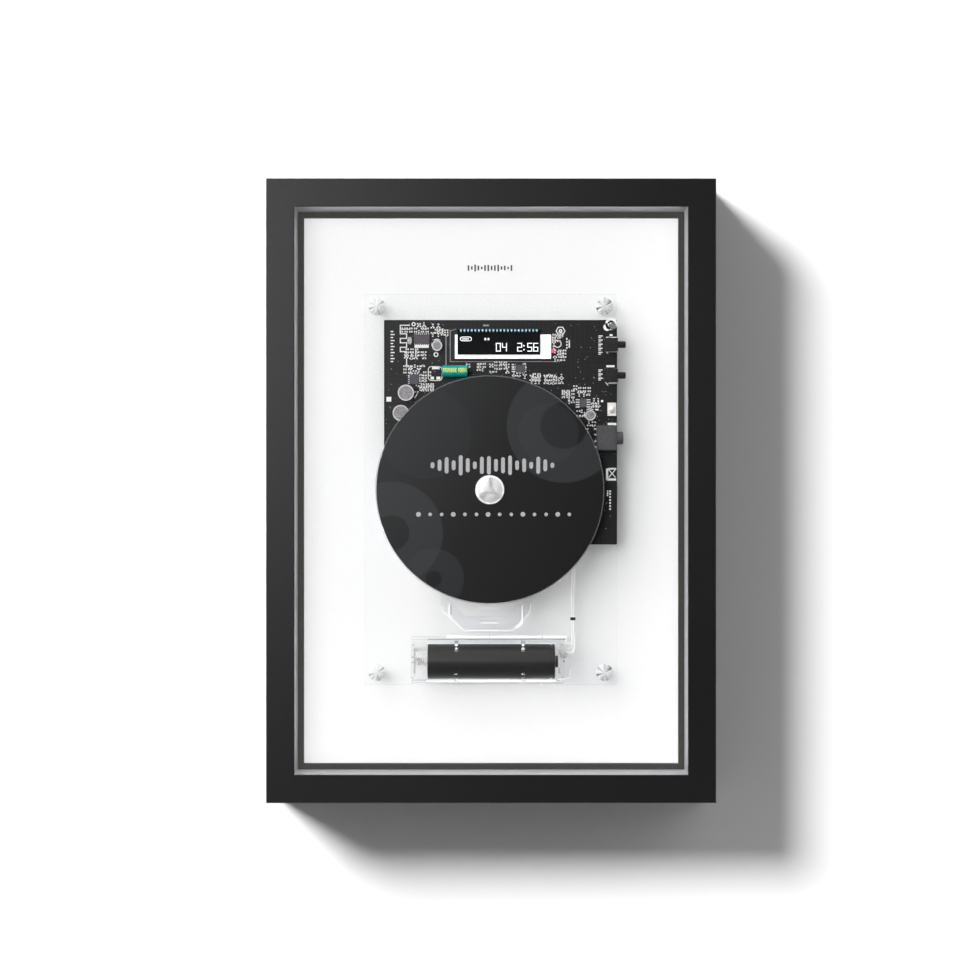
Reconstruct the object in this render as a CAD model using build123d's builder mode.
from build123d import *

import math
import os

os.makedirs("parts", exist_ok=True)

# Wall-mounted disc player: a circuit board, a disc mechanism and a cell on a clear plate,
# standing in a deep square-edged frame. Millimetres. X is right, Z is up, the wall is the
# plane y = 0 and heights above the wall run towards -Y. The origin is the middle of the back.

# Frame and what its rebate holds
sight_width = 204.2
sight_height = 294.8
face_width = 14.65
frame_depth = 45.0
lip_thickness = 1.0
rebate_width = 3.25
edge_break = 0.4
liner_thickness = 1.0
liner_recess = 0.25
spacer_reach = 2.8
spacer_thickness = 4.0
panel_thickness = 6.0
backing_thickness = 4.0
seat_gap = 0.15
overrun = 1.0

# Straps that hold the backing, and keyhole plates that hang the frame
strap_length = 14.0
strap_width = 9.0
strap_thickness = 1.0
strap_corner = 1.5
strap_screw_inset = 3.5
strap_screw_length = 9.0
strap_screw_radius = 1.25
strap_head_radius = 2.2
keyhole_length = 30.0
keyhole_width = 10.0
keyhole_thickness = 1.5
keyhole_drop = 37.4
keyhole_entry_radius = 3.75
keyhole_entry_drop = 4.0
keyhole_slot_width = 4.0
keyhole_slot_rise = 9.0
keyhole_pocket_width = 9.0
keyhole_pocket_length = 20.0
keyhole_pocket_depth = 8.0
keyhole_screw_span = 24.4
keyhole_screw_radius = 1.1
keyhole_head_radius = 2.1
keyhole_screw_length = 10.0

# Clear plate on four standoffs
plate_width = 133.2
plate_height = 206.2
plate_thickness = 4.0
plate_corner = 0.8
plate_middle_x = -0.2
plate_middle_z = 0.65
plate_standoff = 6.0
standoff_inset = 6.6
standoff_radius = 4.0
standoff_screw_radius = 2.0
standoff_head_radius = 3.9
screw_clearance = 0.15
cap_radius = 4.6
cap_rim_height = 1.7
cap_top_radius = 2.5
cap_height = 3.6
cap_screw_bite = 2.4
cap_facets = 10

# Circuit board, an angle shape behind the disc
circuit_inset_right = 0.1
circuit_inset_top = 13.85
circuit_width = 122.7
circuit_height = 118.2
circuit_thickness = 1.6
circuit_gap = 1.4
circuit_band_gap = 1.4
circuit_column_width = 32.3
circuit_corner = 0.6
circuit_screw_inset_x = 2.5
circuit_screw_inset_z = 3.0
circuit_screw_margin = 4.0
circuit_spacer_radius = 2.6
plate_screw_radius = 1.0
plate_screw_bite = 3.0
plate_screw_head_radius = 1.9
plate_screw_head_height = 1.2

# Display
display_left_share = 0.3044
display_drop = 20.4
display_width_share = 0.412
backlight_height = 12.6
backlight_thickness = 1.7
glass_inset_x = 1.35
glass_inset_z = 2.0
glass_inset_right = 5.7
glass_height = 13.2
glass_thickness = 1.6
pin_count = 22
pin_margin = 1.8
pin_width = 0.8
pin_thickness = 0.3
pin_grip = 1.3

# Push buttons and headphone socket on the right edge of the board
switch_inset = 6.5
switch_depth = 6.7
switch_height = 5.6
power_switch_width = 7.0
power_switch_drop = 13.1
pair_switch_width = 6.6
pair_switch_drop = 29.3
button_radius = 1.75
button_rise = 3.0
button_reach = 4.2
button_fit = 0.06
button_travel = 0.3
button_flange_radius = 2.3
button_flange_thickness = 0.8
switch_back_wall = 0.8
switch_chamber_gap = 0.15
socket_inset = 10.8
socket_depth = 10.5
socket_width = 13.0
socket_height = 6.8
socket_drop = 62.2
socket_rise = 3.35
socket_nose_radius = 3.3
socket_nose_length = 3.3
socket_bore_radius = 1.8
socket_bore_length = 12.0

# Parts standing on the circuit board
chip_thickness = 1.0
chip_edge = 0.25
small_part_thickness = 0.6
can_height = 5.4
can_base_margin = 0.3
can_base_height = 0.6
axial_radius = 3.2
axial_length = 13.4
axial_lead_radius = 0.35
axial_lead_length = 2.2
axial_end_break = 0.7
crystal_length = 4.0
crystal_width = 2.7
crystal_height = 1.9
receiver_width = 4.6
receiver_length = 6.9
receiver_height = 2.2
receiver_lens_radius = 1.7
lamp_width = 1.4
lamp_length = 2.0
lamp_height = 0.8

# Disc and the turntable that carries it
spindle_x = -0.7
spindle_z = 0.5
disc_radius = 60.0
disc_hole_radius = 7.5
disc_thickness = 1.2
disc_back = 32.0
disc_edge_break = 0.15
hub_fit = 0.08
hub_rise = 2.3
hub_dome_rise = 1.9
hub_dome_radius = 3.4
hub_dome_arc_share = 0.62
hub_stub_radius = 1.5
hub_stub_rise = 0.7
hub_rib_width = 0.9
hub_rib_rise = 0.5
hub_nub_width = 1.6
hub_nub_length = 0.8
hub_nub_rise = 0.8
turntable_radius = 15.0
turntable_thickness = 1.8
turntable_boss_radius = 4.2
turntable_boss_height = 2.0
pad_thickness = 0.4
pad_outer_radius = 14.6
pad_inner_radius = 10.6
spindle_radius = 1.0
spindle_fit = 0.05
spindle_length = 19.5

# Mechanism deck
deck_shift = -1.7
cradle_width = 48.1
cradle_top = 18.6
cradle_bottom = -73.8
cradle_corner = 12.0
cradle_floor = 2.5
cradle_opening_width = 40.4
cradle_opening_top = 13.2
cradle_opening_bottom = -66.4
cradle_opening_corner = 9.0
cradle_rim = 1.2
cradle_rim_height = 3.2
cradle_rim_top = -57.0
cradle_ear_radius = 3.2
cradle_ear_spread = 24.6
cradle_ear_z = -30.0
cradle_motor_wall = 2.2
cradle_top_screw_spread = 15.0
cradle_top_screw_drop = 2.9
chassis_back = 24.6
chassis_thickness = 1.0
chassis_width = 40.2
chassis_top = 15.0
chassis_bottom = -55.4
chassis_corner = 3.0
chassis_window_width = 24.0
chassis_window_top = -10.4
damper_spread = 22.7
damper_top_z = 10.0
damper_bottom_z = -49.6
damper_radius = 2.6
damper_neck_radius = 1.7
damper_cap_height = 1.6
damper_ear_margin = 0.8
damper_screw_radius = 0.9
damper_head_radius = 2.0
damper_head_height = 1.0
rod_spread = 17.5
rod_radius = 1.25
rod_height = 22.3
rod_fit = 0.04
rod_top = -9.0
rod_tab_width = 4.6
rod_tab_thickness = 1.6
rod_tab_wall = 0.5
motor_radius = 12.0
motor_height = 9.0
motor_edge = 1.0
motor_boss_radius = 4.6
motor_boss_height = 1.6

# Pickup sled and its gears
sled_travel = 33.5
lens_rest_radius = 24.0
sled_width = 28.0
sled_back = 14.5
sled_front = 23.9
sled_above_lens = 11.2
sled_below_lens = 7.5
sled_corner = 2.0
sled_eye_radius = 2.1
sled_eye_length = 7.2
tower_width = 18.0
tower_above_lens = 8.0
tower_front = 29.0
tower_corner = 2.0
lens_well_radius = 3.7
lens_well_depth = 2.5
lens_holder_radius = 3.2
lens_holder_height = 2.3
lens_gap = 0.8
lens_dome_radius = 2.2
lens_dome_rise = 0.6
gear_module = 0.5
gear_backlash = 0.18
gear_addendum_share = 0.7
gear_dedendum_share = 1.0
small_teeth = 12
large_teeth = 36
pressure_angle = 20.0
rack_line_x = 16.0
rack_back = 26.1
rack_thickness = 1.4
rack_spine = 1.9
rack_arm_width = 12.0
rack_end_margin = 3.0
gear_z = -30.0
gear_gap = 0.3
large_gear_thickness = 1.6
gear_pin_radius = 1.0
gear_pin_head_radius = 1.8
gear_pin_head_height = 0.4
sled_motor_offset_x = 5.8
sled_motor_radius = 6.0
sled_motor_height = 10.2
sled_motor_shaft_radius = 0.75
sled_motor_lug = 7.4
window_width = 30.0
window_top = 13.4
window_bottom = -66.0
window_corner = 3.0

# Cell, its holder and the lead to the board
cell_radius = 9.1
cell_length = 66.6
cell_middle_x = 0.1
cell_z = -89.4
cell_seat_gap = 0.1
cell_edge_radius = 0.6
cell_crimp_width = 1.2
cell_crimp_depth = 0.35
cell_crimp_inset = 2.6
cell_cap_radius = 3.1
cell_cap_length = 1.6
holder_left = -41.7
holder_right = 41.9
holder_width = 24.2
holder_middle_z = -88.8
holder_floor = 1.5
holder_wall = 1.4
holder_wall_height = 9.0
holder_end_height = 15.0
holder_end_width = 17.0
holder_right_wall_x = 38.0
holder_finger_width = 1.8
holder_finger_thickness = 1.2
holder_finger_gap = 0.3
holder_finger_spread = 17.45
holder_finger_middle_x = -0.75
holder_finger_angle = 52.0
holder_saddle_width = 3.0
holder_saddle_height = 3.6
holder_screw_radius = 1.2
holder_screw_spread = 26.0
holder_head_radius = 2.2
contact_thickness = 0.4
contact_width = 13.2
contact_height = 13.0
contact_tab_width = 2.2
contact_tab_length = 2.6
strip_offset = 6.0
spring_wire_radius = 0.3
spring_coil_radius = 1.95
spring_turns = 4
spring_end = 0.6
spring_bend = 0.55
lead_radius = 0.45
lead_sleeve_length = 1.5
lead_sleeve_wall = 0.4
lead_sleeve_z = -67.5
lead_bend_share = 0.45

# Sizes that follow from the ones above
outer_width = sight_width + 2 * face_width
outer_height = sight_height + 2 * face_width
rebate_opening_width = sight_width + 2 * rebate_width
rebate_opening_height = sight_height + 2 * rebate_width
liner_opening_width = sight_width + 2 * liner_recess
liner_opening_height = sight_height + 2 * liner_recess
panel_front = backing_thickness + panel_thickness
rebate_depth = panel_front + spacer_thickness
liner_length = frame_depth - lip_thickness - rebate_depth
sheet_width = rebate_opening_width - 2 * seat_gap
sheet_height = rebate_opening_height - 2 * seat_gap
plate_back = panel_front + plate_standoff
plate_front = plate_back + plate_thickness
standoff_x = plate_width / 2 - standoff_inset
standoff_z = plate_height / 2 - standoff_inset
circuit_right = plate_middle_x + plate_width / 2 - circuit_inset_right
circuit_top = plate_middle_z + plate_height / 2 - circuit_inset_top
circuit_left = circuit_right - circuit_width
circuit_bottom = circuit_top - circuit_height
circuit_band_bottom = cradle_top + circuit_band_gap
circuit_column_left = circuit_right - circuit_column_width
display_left = circuit_left + display_left_share * circuit_width
backlight_width = display_width_share * circuit_width
glass_width = backlight_width - glass_inset_x - glass_inset_right
display_bottom = circuit_top - display_drop
switch_left = circuit_right - switch_inset
socket_left = circuit_right - socket_inset
socket_z = circuit_top - socket_drop
circuit_back = plate_front + circuit_gap
circuit_front = circuit_back + circuit_thickness
deck_x = spindle_x + deck_shift
lens_z = spindle_z - lens_rest_radius
chassis_front = chassis_back + chassis_thickness
cradle_front = plate_front + cradle_floor

seated = (Align.CENTER, Align.CENTER, Align.MIN)


def level(height):
    """Plane parallel to the wall at a height in front of it, with sketch axes +X and +Z."""
    return Plane.XZ.offset(height)


def on_wall_side(points, height):
    """Locations at a height, with the local Z towards the front, for solids to be added."""
    return [level(height).location * Location((x, z, 0)) for x, z in points]


def driven_in(points, height):
    """Locations for screws driven from the front, their heads standing on a height."""
    turned_back = Location((0, 0, 0), (180, 0, 0))
    return [place * turned_back for place in on_wall_side(points, height)]


def screw(length, shank_radius, head_radius, head_height):
    """Screw along +Z from the back of its head at zero, with a domed pan head below zero."""
    with BuildPart() as fastener:
        Cylinder(shank_radius, length, align=seated)
        with BuildSketch(Plane.XY.offset(-head_height)):
            Circle(head_radius)
        extrude(amount=head_height)
        chamfer(fastener.faces().sort_by(Axis.Z)[0].edges(), head_height / 3)
    return fastener.part


def countersunk_screw(length, shank_radius, head_radius):
    """Screw along +Z with the flat of its countersunk head at zero."""
    with BuildPart() as fastener:
        with BuildSketch(Plane.XZ):
            with BuildLine():
                Polyline(
                    (0, 0),
                    (head_radius, 0),
                    (shank_radius, head_radius - shank_radius),
                    (shank_radius, length),
                    (0, length),
                    close=True,
                )
            make_face()
        revolve(axis=Axis.Z)
    return fastener.part


def countersunk_hole(depth, shank_radius, head_radius, clearance):
    """Solid to cut for such a screw, from just under the surface at zero, along +Z."""
    with BuildPart() as hole:
        Cylinder(shank_radius + clearance, depth, align=seated)
        rim = head_radius + clearance
        Cone(rim, shank_radius, rim - shank_radius, align=seated)
    return hole.part


# Frame rails, mitred at the corners
half_outer = (outer_width / 2, outer_height / 2)
half_sight = (sight_width / 2, sight_height / 2)
strap_x = rebate_opening_width / 2
strap_z = rebate_opening_height / 2
strap_run_shares = (-0.3, 0.3)
keyhole_x = (outer_width + rebate_opening_width) / 4
keyhole_z = sight_height / 2 - keyhole_drop
keyhole_places = ((-keyhole_x, keyhole_z), (keyhole_x, keyhole_z))
strap_rises = (strap_run_shares[0] * outer_height, 0, keyhole_z - keyhole_length)
strap_places = []
for side in (-1, 1):
    for rise in strap_rises:
        strap_places.append((side * strap_x, rise, 0))
    for share in strap_run_shares:
        strap_places.append((share * outer_width, side * strap_z, 90))


def strap_outlines(clearance):
    """Rounded strap outlines across the joint of rail and backing, in the current sketch."""
    for x, z, turn in strap_places:
        with Locations((x, z)):
            RectangleRounded(
                strap_length + 2 * clearance,
                strap_width + 2 * clearance,
                strap_corner + clearance,
                rotation=turn,
            )


def strap_screw_places():
    """Points in the rails where the straps are screwed down."""
    places = []
    for x, z, turn in strap_places:
        if turn:
            places.append((x, z + math.copysign(strap_screw_inset, z)))
        else:
            places.append((x + math.copysign(strap_screw_inset, x), z))
    return places


rail_corners = {
    "frame_rail_top": ((-1, 1), (1, 1)),
    "frame_rail_right": ((1, 1), (1, -1)),
    "frame_rail_bottom": ((1, -1), (-1, -1)),
    "frame_rail_left": ((-1, -1), (-1, 1)),
}
for rail_name, (start, end) in rail_corners.items():
    with BuildPart() as rail:
        with BuildSketch(level(0)):
            Polygon(
                (start[0] * half_outer[0], start[1] * half_outer[1]),
                (end[0] * half_outer[0], end[1] * half_outer[1]),
                (end[0] * half_sight[0], end[1] * half_sight[1]),
                (start[0] * half_sight[0], start[1] * half_sight[1]),
                align=None,
            )
        extrude(amount=frame_depth)
        front_edges = rail.faces().sort_by(Axis.Y)[0].edges()
        mitre_length = math.hypot(face_width, face_width)
        long_edges = front_edges.filter_by(lambda edge: edge.length > 2 * mitre_length)
        chamfer(long_edges, edge_break)
        with BuildSketch(level(0)):
            Rectangle(rebate_opening_width, rebate_opening_height)
        extrude(amount=rebate_depth, mode=Mode.SUBTRACT)
        with BuildSketch(level(rebate_depth)):
            Rectangle(
                liner_opening_width + 2 * liner_thickness,
                liner_opening_height + 2 * liner_thickness,
            )
        extrude(amount=liner_length, mode=Mode.SUBTRACT)
        with BuildSketch(level(0)):
            strap_outlines(seat_gap)
        extrude(amount=strap_thickness, mode=Mode.SUBTRACT)
        with BuildSketch(level(0)):
            with Locations(*strap_screw_places()):
                Circle(strap_screw_radius)
        extrude(amount=strap_screw_length + seat_gap, mode=Mode.SUBTRACT)
        with BuildSketch(level(0)):
            with Locations(*keyhole_places):
                SlotOverall(keyhole_length + 2 * seat_gap, keyhole_width + 2 * seat_gap, rotation=90)
        extrude(amount=keyhole_thickness, mode=Mode.SUBTRACT)
        with BuildSketch(level(keyhole_thickness)):
            with Locations(*keyhole_places):
                SlotOverall(keyhole_pocket_length, keyhole_pocket_width, rotation=90)
        extrude(amount=keyhole_pocket_depth, mode=Mode.SUBTRACT)
        with BuildSketch(level(keyhole_thickness)):
            with Locations(*keyhole_places):
                with GridLocations(0, keyhole_screw_span, 1, 2):
                    Circle(keyhole_screw_radius)
        extrude(amount=keyhole_screw_length, mode=Mode.SUBTRACT)
    rail.part.label = rail_name
    export_step(rail.part, "parts/" + rail_name + ".step")

# Bright liner behind the lip, and the dark spacer ledge that stands on the panel
with BuildPart() as sight_liner:
    with BuildSketch(level(rebate_depth)):
        Rectangle(
            liner_opening_width + 2 * liner_thickness,
            liner_opening_height + 2 * liner_thickness,
        )
        Rectangle(liner_opening_width, liner_opening_height, mode=Mode.SUBTRACT)
    extrude(amount=liner_length)
sight_liner.part.label = "sight_liner"
export_step(sight_liner.part, "parts/sight_liner.step")

with BuildPart() as spacer_ledge:
    with BuildSketch(level(panel_front)):
        Rectangle(sheet_width, sheet_height)
        Rectangle(
            sight_width - 2 * spacer_reach,
            sight_height - 2 * spacer_reach,
            mode=Mode.SUBTRACT,
        )
    extrude(amount=spacer_thickness)
spacer_ledge.part.label = "spacer_ledge"
export_step(spacer_ledge.part, "parts/spacer_ledge.step")

# White panel and the backing behind it, drilled for the standoff screws
standoff_places = []
for side_x in (-1, 1):
    for side_z in (-1, 1):
        standoff_places.append(
            (plate_middle_x + side_x * standoff_x, plate_middle_z + side_z * standoff_z)
        )

with BuildPart() as display_panel:
    with BuildSketch(level(backing_thickness)):
        Rectangle(sheet_width, sheet_height)
        with Locations(*standoff_places):
            Circle(standoff_screw_radius + screw_clearance, mode=Mode.SUBTRACT)
    extrude(amount=panel_thickness)
display_panel.part.label = "display_panel"
export_step(display_panel.part, "parts/display_panel.step")

with BuildPart() as backing_board:
    with BuildSketch(level(0)):
        Rectangle(sheet_width, sheet_height)
    extrude(amount=backing_thickness)
    with BuildSketch(level(0)):
        strap_outlines(seat_gap)
    extrude(amount=strap_thickness, mode=Mode.SUBTRACT)
    with Locations(*on_wall_side(standoff_places, 0)):
        add(
            countersunk_hole(
                backing_thickness, standoff_screw_radius, standoff_head_radius, screw_clearance
            ),
            mode=Mode.SUBTRACT,
        )
backing_board.part.label = "backing_board"
export_step(backing_board.part, "parts/backing_board.step")

with BuildPart() as backing_straps:
    with BuildSketch(level(0)):
        strap_outlines(0)
    extrude(amount=strap_thickness)
    with Locations(*on_wall_side(strap_screw_places(), 0)):
        add(
            countersunk_hole(strap_thickness, strap_screw_radius, strap_head_radius, 0),
            mode=Mode.SUBTRACT,
        )
backing_straps.part.label = "backing_straps"
export_step(backing_straps.part, "parts/backing_straps.step")

# Keyhole plates, let into the backs of the side rails
for plate_name, (x, z) in zip(("keyhole_plate_left", "keyhole_plate_right"), keyhole_places):
    with BuildPart() as keyhole_plate:
        with BuildSketch(level(0)):
            with Locations((x, z)):
                SlotOverall(keyhole_length, keyhole_width, rotation=90)
            with Locations((x, z - keyhole_entry_drop)):
                Circle(keyhole_entry_radius, mode=Mode.SUBTRACT)
                with Locations((0, keyhole_slot_rise / 2)):
                    SlotCenterToCenter(
                        keyhole_slot_rise, keyhole_slot_width, rotation=90, mode=Mode.SUBTRACT
                    )
        extrude(amount=keyhole_thickness)
        with Locations(*on_wall_side([(x, z)], 0)):
            with GridLocations(0, keyhole_screw_span, 1, 2):
                add(
                    countersunk_hole(
                        keyhole_thickness, keyhole_screw_radius, keyhole_head_radius, 0
                    ),
                    mode=Mode.SUBTRACT,
                )
    keyhole_plate.part.label = plate_name
    export_step(keyhole_plate.part, "parts/" + plate_name + ".step")

# Wood screws in the backs of the rails, for the straps and the keyhole plates
with BuildPart() as frame_screws:
    with Locations(*on_wall_side(strap_screw_places(), 0)):
        add(countersunk_screw(strap_screw_length, strap_screw_radius, strap_head_radius))
    with Locations(*on_wall_side(keyhole_places, 0)):
        with GridLocations(0, keyhole_screw_span, 1, 2):
            add(countersunk_screw(keyhole_screw_length, keyhole_screw_radius, keyhole_head_radius))
frame_screws.part.label = "frame_screws"
export_step(frame_screws.part, "parts/frame_screws.step")


# Places on the deck that more than one piece uses
damper_places = []
cradle_screw_places = []
rod_places = []
for side in (-1, 1):
    damper_places.append((deck_x + side * damper_spread, damper_top_z))
    damper_places.append((deck_x + side * damper_spread, damper_bottom_z))
    cradle_screw_places.append(
        (deck_x + side * cradle_top_screw_spread, cradle_top - cradle_top_screw_drop)
    )
    cradle_screw_places.append((deck_x + side * cradle_ear_spread, cradle_ear_z))
    rod_places.append((deck_x + side * rod_spread, rod_height))
small_pitch_radius = gear_module * small_teeth / 2
large_pitch_radius = gear_module * large_teeth / 2
gear_x = rack_line_x + small_pitch_radius
gear_distance = large_pitch_radius + small_pitch_radius
motor_turn = -math.degrees(math.acos(sled_motor_offset_x / gear_distance))
sled_motor_x = gear_x + gear_distance * math.cos(math.radians(motor_turn))
sled_motor_z = gear_z + gear_distance * math.sin(math.radians(motor_turn))


def board_place(share_x, share_z):
    """Point on the board's band, as shares of the band's width and height from its lower left."""
    rise = circuit_top - circuit_band_bottom
    return (circuit_left + share_x * circuit_width, circuit_band_bottom + share_z * rise)


circuit_screw_places = [
    (circuit_right - circuit_screw_inset_x, circuit_top - circuit_screw_inset_z),
    (circuit_left + circuit_screw_margin, circuit_band_bottom + circuit_screw_margin),
    (circuit_column_left + circuit_screw_margin, circuit_bottom + circuit_screw_margin),
]
holder_screw_places = [
    (cell_middle_x + side * holder_screw_spread, cell_z) for side in (-1, 1)
]

# Clear plate with its window for the mechanism
with BuildPart() as clear_plate:
    with BuildSketch(level(plate_back)):
        with Locations((plate_middle_x, plate_middle_z)):
            RectangleRounded(plate_width, plate_height, plate_corner)
        with Locations((deck_x, (window_top + window_bottom) / 2)):
            RectangleRounded(
                window_width, window_top - window_bottom, window_corner, mode=Mode.SUBTRACT
            )
        with Locations((sled_motor_x, sled_motor_z)):
            Circle(sled_motor_radius + seat_gap, mode=Mode.SUBTRACT)
        with Locations(*standoff_places):
            Circle(standoff_screw_radius + screw_clearance, mode=Mode.SUBTRACT)
    extrude(amount=plate_thickness)
    with BuildSketch(level(plate_front)):
        with Locations(*circuit_screw_places, *cradle_screw_places):
            Circle(plate_screw_radius)
        with Locations(*holder_screw_places):
            Circle(holder_screw_radius)
    extrude(amount=-plate_thickness, mode=Mode.SUBTRACT)
clear_plate.part.label = "clear_plate"
export_step(clear_plate.part, "parts/clear_plate.step")

# Standoffs, their faceted clear caps, and the long screws that come through from behind
with BuildPart() as standoff_posts:
    with BuildSketch(level(panel_front)):
        with Locations(*standoff_places):
            Circle(standoff_radius)
            Circle(standoff_screw_radius + screw_clearance, mode=Mode.SUBTRACT)
    extrude(amount=plate_standoff)
standoff_posts.part.label = "standoff_posts"
export_step(standoff_posts.part, "parts/standoff_posts.step")

with BuildPart() as cap_form:
    with BuildSketch(Plane.XY):
        RegularPolygon(cap_radius, cap_facets)
    extrude(amount=cap_rim_height)
    with BuildSketch(Plane.XY.offset(cap_rim_height)):
        RegularPolygon(cap_radius, cap_facets)
    with BuildSketch(Plane.XY.offset(cap_height)):
        RegularPolygon(cap_top_radius, cap_facets)
    loft(ruled=True)
    with BuildSketch(Plane.XY):
        Circle(standoff_screw_radius + screw_clearance)
    extrude(amount=cap_screw_bite + screw_clearance, mode=Mode.SUBTRACT)

with BuildPart() as standoff_caps:
    with Locations(*on_wall_side(standoff_places, plate_front)):
        add(cap_form.part)
standoff_caps.part.label = "standoff_caps"
export_step(standoff_caps.part, "parts/standoff_caps.step")

standoff_screw_length = plate_front + cap_screw_bite
with BuildPart() as standoff_screws:
    with Locations(*on_wall_side(standoff_places, 0)):
        add(countersunk_screw(standoff_screw_length, standoff_screw_radius, standoff_head_radius))
standoff_screws.part.label = "standoff_screws"
export_step(standoff_screws.part, "parts/standoff_screws.step")

# Circuit board: a band above the mechanism and a column down its right side
with BuildPart() as circuit_board:
    with BuildSketch(level(circuit_back)):
        Polygon(
            (circuit_left, circuit_top),
            (circuit_left, circuit_band_bottom),
            (circuit_column_left, circuit_band_bottom),
            (circuit_column_left, circuit_bottom),
            (circuit_right, circuit_bottom),
            (circuit_right, circuit_top),
            align=None,
        )
        with Locations(*circuit_screw_places):
            Circle(plate_screw_radius + screw_clearance, mode=Mode.SUBTRACT)
    extrude(amount=circuit_thickness)
    upright_edges = circuit_board.edges().filter_by(Axis.Y).filter_by(GeomType.LINE)
    fillet(upright_edges, circuit_corner)
circuit_board.part.label = "circuit_board"
export_step(circuit_board.part, "parts/circuit_board.step")

with BuildPart() as board_spacers:
    with BuildSketch(level(plate_front)):
        with Locations(*circuit_screw_places):
            Circle(circuit_spacer_radius)
            Circle(plate_screw_radius + screw_clearance, mode=Mode.SUBTRACT)
    extrude(amount=circuit_gap)
board_spacers.part.label = "board_spacers"
export_step(board_spacers.part, "parts/board_spacers.step")

# Display: backlight, glass cell and the row of clip pins along its top edge
glass_left = display_left + glass_inset_x
glass_bottom = display_bottom + glass_inset_z
glass_top = glass_bottom + glass_height
glass_back = circuit_front + backlight_thickness
glass_front = glass_back + glass_thickness
with BuildPart() as display_backlight:
    with BuildSketch(level(circuit_front)):
        with Locations((display_left, display_bottom)):
            Rectangle(backlight_width, backlight_height, align=(Align.MIN, Align.MIN))
    extrude(amount=backlight_thickness)
display_backlight.part.label = "display_backlight"
export_step(display_backlight.part, "parts/display_backlight.step")

with BuildPart() as display_glass:
    with BuildSketch(level(glass_back)):
        with Locations((glass_left, glass_bottom)):
            Rectangle(glass_width, glass_height, align=(Align.MIN, Align.MIN))
    extrude(amount=glass_thickness)
display_glass.part.label = "display_glass"
export_step(display_glass.part, "parts/display_glass.step")

pin_row_x = glass_left + glass_width / 2
pin_pitch = (glass_width - 2 * pin_margin) / (pin_count - 1)
with BuildPart() as display_pins:
    for pin in range(pin_count):
        pin_x = pin_row_x + (pin - (pin_count - 1) / 2) * pin_pitch
        with BuildSketch(Plane.YZ.offset(pin_x - pin_width / 2)):
            with BuildLine():
                Polyline(
                    (-circuit_front, glass_top),
                    (-glass_front, glass_top),
                    (-glass_front, glass_top - pin_grip),
                    (-glass_front - pin_thickness, glass_top - pin_grip),
                    (-glass_front - pin_thickness, glass_top + pin_thickness),
                    (-circuit_front, glass_top + pin_thickness),
                    close=True,
                )
            make_face()
        extrude(amount=pin_width)
display_pins.part.label = "display_pins"
export_step(display_pins.part, "parts/display_pins.step")

# Push buttons: a body with a chamber that keeps the flanged plunger in
switch_right = switch_left + switch_depth
chamber_left = switch_left + switch_back_wall
chamber_depth = button_travel + button_flange_thickness + 2 * switch_chamber_gap
chamber_right = chamber_left + chamber_depth
flange_left = chamber_right - switch_chamber_gap - button_flange_thickness
switch_sizes = {
    "power": (power_switch_width, circuit_top - power_switch_drop),
    "pair": (pair_switch_width, circuit_top - pair_switch_drop),
}
for switch_name, (switch_width, switch_z) in switch_sizes.items():
    with BuildPart() as switch_body:
        with BuildSketch(level(circuit_front)):
            with Locations((switch_left, switch_z)):
                Rectangle(switch_depth, switch_width, align=(Align.MIN, Align.CENTER))
        extrude(amount=switch_height)
        with BuildSketch(Plane.YZ.offset(chamber_left)):
            with Locations((-circuit_front - button_rise, switch_z)):
                Circle(button_flange_radius + switch_chamber_gap)
        extrude(amount=chamber_depth, mode=Mode.SUBTRACT)
        with BuildSketch(Plane.YZ.offset(chamber_right)):
            with Locations((-circuit_front - button_rise, switch_z)):
                Circle(button_radius + button_fit)
        extrude(amount=switch_right - chamber_right, mode=Mode.SUBTRACT)
    switch_body.part.label = switch_name + "_switch_body"
    export_step(switch_body.part, "parts/" + switch_name + "_switch_body.step")

    with BuildPart() as button:
        with BuildSketch(Plane.YZ.offset(flange_left)):
            with Locations((-circuit_front - button_rise, switch_z)):
                Circle(button_flange_radius)
        extrude(amount=button_flange_thickness)
        with BuildSketch(Plane.YZ.offset(flange_left)):
            with Locations((-circuit_front - button_rise, switch_z)):
                Circle(button_radius)
        extrude(amount=switch_right + button_reach - flange_left)
        chamfer(button.faces().sort_by(Axis.X)[-1].edges(), edge_break)
    button.part.label = switch_name + "_button"
    export_step(button.part, "parts/" + switch_name + "_button.step")

# Headphone socket: moulded block with a round nose and the plug's bore
with BuildPart() as headphone_socket:
    with BuildSketch(level(circuit_front)):
        with Locations((socket_left, socket_z)):
            Rectangle(socket_depth, socket_width, align=(Align.MIN, Align.CENTER))
    extrude(amount=socket_height)
    socket_front_edges = headphone_socket.faces().sort_by(Axis.Y)[0].edges()
    chamfer(socket_front_edges, edge_break)
    with BuildSketch(Plane.YZ.offset(socket_left + socket_depth)):
        with Locations((-circuit_front - socket_rise, socket_z)):
            Circle(socket_nose_radius)
    extrude(amount=socket_nose_length)
    chamfer(headphone_socket.faces().sort_by(Axis.X)[-1].edges(), edge_break)
    with BuildSketch(Plane.YZ.offset(socket_left + socket_depth + socket_nose_length)):
        with Locations((-circuit_front - socket_rise, socket_z)):
            Circle(socket_bore_radius)
    extrude(amount=-socket_bore_length, mode=Mode.SUBTRACT)
headphone_socket.part.label = "headphone_socket"
export_step(headphone_socket.part, "parts/headphone_socket.step")

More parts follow.
